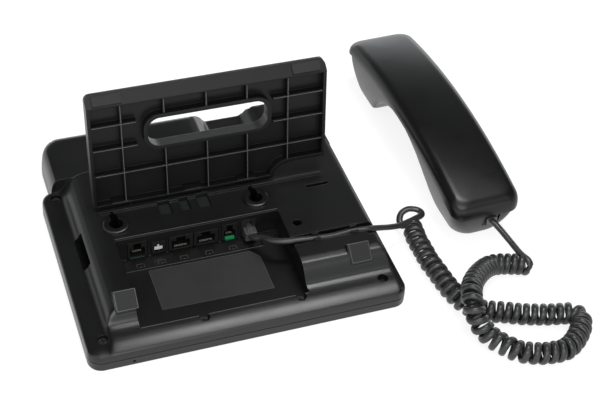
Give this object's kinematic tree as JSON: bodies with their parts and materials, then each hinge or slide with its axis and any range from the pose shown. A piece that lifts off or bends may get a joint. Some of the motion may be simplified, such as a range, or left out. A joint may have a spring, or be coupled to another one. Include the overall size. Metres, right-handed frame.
{
  "type": "desk ip phone",
  "caption": "Desk IP telephone lying face down with a fitted tilt stand, network and accessory sockets, and a corded handset on a curly lead.",
  "frame": {"origin": "near the middle of the case's resting face: on the raised bar of the front panel, which lies on the surface in this face-down pose", "axes": "+X across the case towards the handset, +Y from the near edge with the sockets' label bay towards the display end, +Z out of the rear of the case"},
  "size_m": [0.3078, 0.3042, 0.108],
  "materials": {
    "case_plastic": "fine-textured matte black moulding",
    "key_plastic": "smooth matte dark key caps",
    "rubber_pad": "matte grey-black rubber",
    "cord_rubber": "satin black cord jacket",
    "jack_plastic": "black socket moulding",
    "clear_plug": "clear moulded plug",
    "board": "green solder mask",
    "display_glass": "glossy dark window",
    "display_metal": "pressed metal can",
    "screw_steel": "plated steel",
    "transducer": "dark frame",
    "lamp_red": "translucent red lens",
    "label_film": "bare satin label film"
  },
  "bodies": {
    "case": {"rear_housing": "case_plastic", "front_housing": "case_plastic", "display_window": "display_glass", "display_module": "display_metal", "keypad_mat": "rubber_pad", "key_board": "board", "main_board": "board", "speaker": "transducer", "base_microphone": "transducer", "cradle_tab": "case_plastic", "status_lamp": "lamp_red", "case_screws": "screw_steel", "base_feet": "rubber_pad", "rating_label": "label_film", "ext_jack": "jack_plastic", "power_jack": "jack_plastic", "lan_jack": "jack_plastic", "pc_jack": "jack_plastic", "headset_jack": "jack_plastic", "handset_jack": "jack_plastic", "base_plug": "clear_plug", "lead_base": "cord_rubber", "coil_cord": "cord_rubber"},
    "stand": {"stand_bracket": "case_plastic", "stand_feet": "rubber_pad"},
    "handset": {"handset_back": "case_plastic", "handset_front": "case_plastic", "earpiece_receiver": "transducer", "handset_mic": "transducer", "handset_socket": "jack_plastic", "handset_weight": "screw_steel", "handset_plug": "clear_plug", "lead_handset": "cord_rubber"},
    "key_1": {"key_1": "key_plastic"},
    "key_2": {"key_2": "key_plastic"},
    "key_3": {"key_3": "key_plastic"},
    "key_4": {"key_4": "key_plastic"},
    "key_5": {"key_5": "key_plastic"},
    "key_6": {"key_6": "key_plastic"},
    "key_7": {"key_7": "key_plastic"},
    "key_8": {"key_8": "key_plastic"},
    "key_9": {"key_9": "key_plastic"},
    "key_star": {"key_star": "key_plastic"},
    "key_0": {"key_0": "key_plastic"},
    "key_hash": {"key_hash": "key_plastic"},
    "soft_key_1": {"soft_key_1": "key_plastic"},
    "soft_key_2": {"soft_key_2": "key_plastic"},
    "soft_key_3": {"soft_key_3": "key_plastic"},
    "soft_key_4": {"soft_key_4": "key_plastic"},
    "speaker_key": {"speaker_key": "key_plastic"},
    "headset_key": {"headset_key": "key_plastic"},
    "hold_key": {"hold_key": "key_plastic"},
    "mute_key": {"mute_key": "key_plastic"},
    "nav_ring": {"nav_ring": "key_plastic"},
    "ok_key": {"ok_key": "key_plastic"},
    "hook_plunger": {"hook_plunger": "case_plastic"}
  },
  "joints": [
    {"name": "stand_lift", "type": "slide", "parent": "case", "child": "stand", "axis": [0, 0.1219, 0.9925], "range_m": [0, 0.012]},
    {"name": "handset_lift", "type": "slide", "parent": "case", "child": "handset", "axis": [0, 0, 1], "range_m": [0, 0.03]},
    {"name": "key_1_press", "type": "slide", "parent": "case", "child": "key_1", "axis": [0, 0, 1], "range_m": [0, 0.0008], "stiffness_N_per_m": 400, "springref_m": -0.0006},
    {"name": "key_2_press", "type": "slide", "parent": "case", "child": "key_2", "axis": [0, 0, 1], "range_m": [0, 0.0008], "stiffness_N_per_m": 400, "springref_m": -0.0006},
    {"name": "key_3_press", "type": "slide", "parent": "case", "child": "key_3", "axis": [0, 0, 1], "range_m": [0, 0.0008], "stiffness_N_per_m": 400, "springref_m": -0.0006},
    {"name": "key_4_press", "type": "slide", "parent": "case", "child": "key_4", "axis": [0, 0, 1], "range_m": [0, 0.0008], "stiffness_N_per_m": 400, "springref_m": -0.0006},
    {"name": "key_5_press", "type": "slide", "parent": "case", "child": "key_5", "axis": [0, 0, 1], "range_m": [0, 0.0008], "stiffness_N_per_m": 400, "springref_m": -0.0006},
    {"name": "key_6_press", "type": "slide", "parent": "case", "child": "key_6", "axis": [0, 0, 1], "range_m": [0, 0.0008], "stiffness_N_per_m": 400, "springref_m": -0.0006},
    {"name": "key_7_press", "type": "slide", "parent": "case", "child": "key_7", "axis": [0, 0, 1], "range_m": [0, 0.0008], "stiffness_N_per_m": 400, "springref_m": -0.0006},
    {"name": "key_8_press", "type": "slide", "parent": "case", "child": "key_8", "axis": [0, 0, 1], "range_m": [0, 0.0008], "stiffness_N_per_m": 400, "springref_m": -0.0006},
    {"name": "key_9_press", "type": "slide", "parent": "case", "child": "key_9", "axis": [0, 0, 1], "range_m": [0, 0.0008], "stiffness_N_per_m": 400, "springref_m": -0.0006},
    {"name": "key_star_press", "type": "slide", "parent": "case", "child": "key_star", "axis": [0, 0, 1], "range_m": [0, 0.0008], "stiffness_N_per_m": 400, "springref_m": -0.0006},
    {"name": "key_0_press", "type": "slide", "parent": "case", "child": "key_0", "axis": [0, 0, 1], "range_m": [0, 0.0008], "stiffness_N_per_m": 400, "springref_m": -0.0006},
    {"name": "key_hash_press", "type": "slide", "parent": "case", "child": "key_hash", "axis": [0, 0, 1], "range_m": [0, 0.0008], "stiffness_N_per_m": 400, "springref_m": -0.0006},
    {"name": "soft_key_1_press", "type": "slide", "parent": "case", "child": "soft_key_1", "axis": [0, 0, 1], "range_m": [0, 0.0008], "stiffness_N_per_m": 400, "springref_m": -0.0006},
    {"name": "soft_key_2_press", "type": "slide", "parent": "case", "child": "soft_key_2", "axis": [0, 0, 1], "range_m": [0, 0.0008], "stiffness_N_per_m": 400, "springref_m": -0.0006},
    {"name": "soft_key_3_press", "type": "slide", "parent": "case", "child": "soft_key_3", "axis": [0, 0, 1], "range_m": [0, 0.0008], "stiffness_N_per_m": 400, "springref_m": -0.0006},
    {"name": "soft_key_4_press", "type": "slide", "parent": "case", "child": "soft_key_4", "axis": [0, 0, 1], "range_m": [0, 0.0008], "stiffness_N_per_m": 400, "springref_m": -0.0006},
    {"name": "speaker_key_press", "type": "slide", "parent": "case", "child": "speaker_key", "axis": [0, 0, 1], "range_m": [0, 0.0008], "stiffness_N_per_m": 400, "springref_m": -0.0006},
    {"name": "headset_key_press", "type": "slide", "parent": "case", "child": "headset_key", "axis": [0, 0, 1], "range_m": [0, 0.0008], "stiffness_N_per_m": 400, "springref_m": -0.0006},
    {"name": "hold_key_press", "type": "slide", "parent": "case", "child": "hold_key", "axis": [0, 0, 1], "range_m": [0, 0.0008], "stiffness_N_per_m": 400, "springref_m": -0.0006},
    {"name": "mute_key_press", "type": "slide", "parent": "case", "child": "mute_key", "axis": [0, 0, 1], "range_m": [0, 0.0008], "stiffness_N_per_m": 400, "springref_m": -0.0006},
    {"name": "nav_ring_press", "type": "slide", "parent": "case", "child": "nav_ring", "axis": [0, 0, 1], "range_m": [0, 0.0008], "stiffness_N_per_m": 400, "springref_m": -0.0006},
    {"name": "ok_key_press", "type": "slide", "parent": "case", "child": "ok_key", "axis": [0, 0, 1], "range_m": [0, 0.0008], "stiffness_N_per_m": 400, "springref_m": -0.0006},
    {"name": "hook_press", "type": "slide", "parent": "case", "child": "hook_plunger", "axis": [0, 0, 1], "range_m": [0, 0.002], "stiffness_N_per_m": 150, "springref_m": -0.002}
  ]
}
